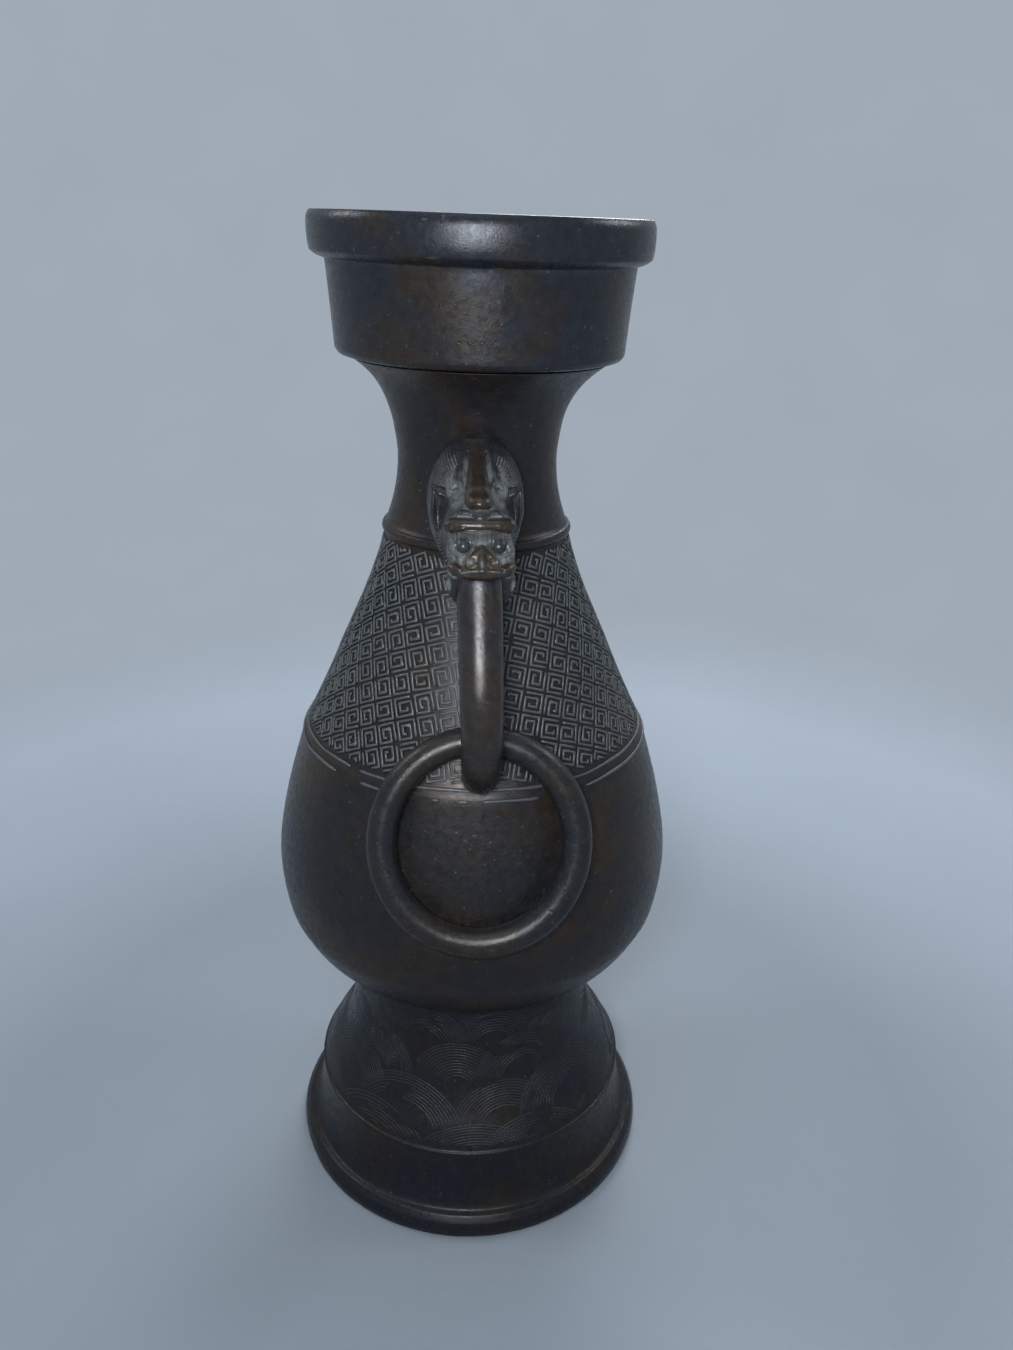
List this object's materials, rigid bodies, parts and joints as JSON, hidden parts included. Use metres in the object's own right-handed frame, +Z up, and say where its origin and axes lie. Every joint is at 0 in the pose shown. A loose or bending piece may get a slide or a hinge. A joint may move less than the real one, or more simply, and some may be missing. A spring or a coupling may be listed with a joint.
{
  "type": "bronze vase",
  "caption": "Pear-shaped bronze vase with a cup mouth, a bell foot and beast-head loop handles, each carrying a loose ring that swings.",
  "frame": {"origin": "centre of the foot's underside, on the vase's axis", "axes": "+Z up along the vase's axis; the two handles lie along -Y (front, towards the viewer) and +Y (rear)"},
  "size_m": [0.0986, 0.112, 0.24],
  "materials": {
    "dark_bronze": "blue-black patinated bronze, satin, with faint grey dust",
    "brown_bronze": "brown patinated bronze, satin, with grey-green dust in the recesses of its fret pattern",
    "black_bronze": "black patinated bronze, satin, brown where it is rubbed",
    "polished_bronze": "dark brown bronze, handled smooth, glossier on its high points"
  },
  "bodies": {
    "vase": {"mouth_cup": "dark_bronze", "vessel_body": "brown_bronze", "belly_floor": "brown_bronze", "foot": "black_bronze", "front_handle": "polished_bronze", "rear_handle": "polished_bronze"},
    "front_ring": {"front_ring": "dark_bronze"},
    "rear_ring": {"rear_ring": "dark_bronze"}
  },
  "joints": [
    {"name": "front_ring_swing", "type": "hinge", "parent": "vase", "child": "front_ring", "pos_m": [0, -0.03902, 0.13805], "axis": [-1, 0, 0], "range_deg": [0, 130]},
    {"name": "rear_ring_swing", "type": "hinge", "parent": "vase", "child": "rear_ring", "pos_m": [0, 0.03902, 0.13805], "axis": [1, 0, 0], "range_deg": [0, 130]}
  ]
}
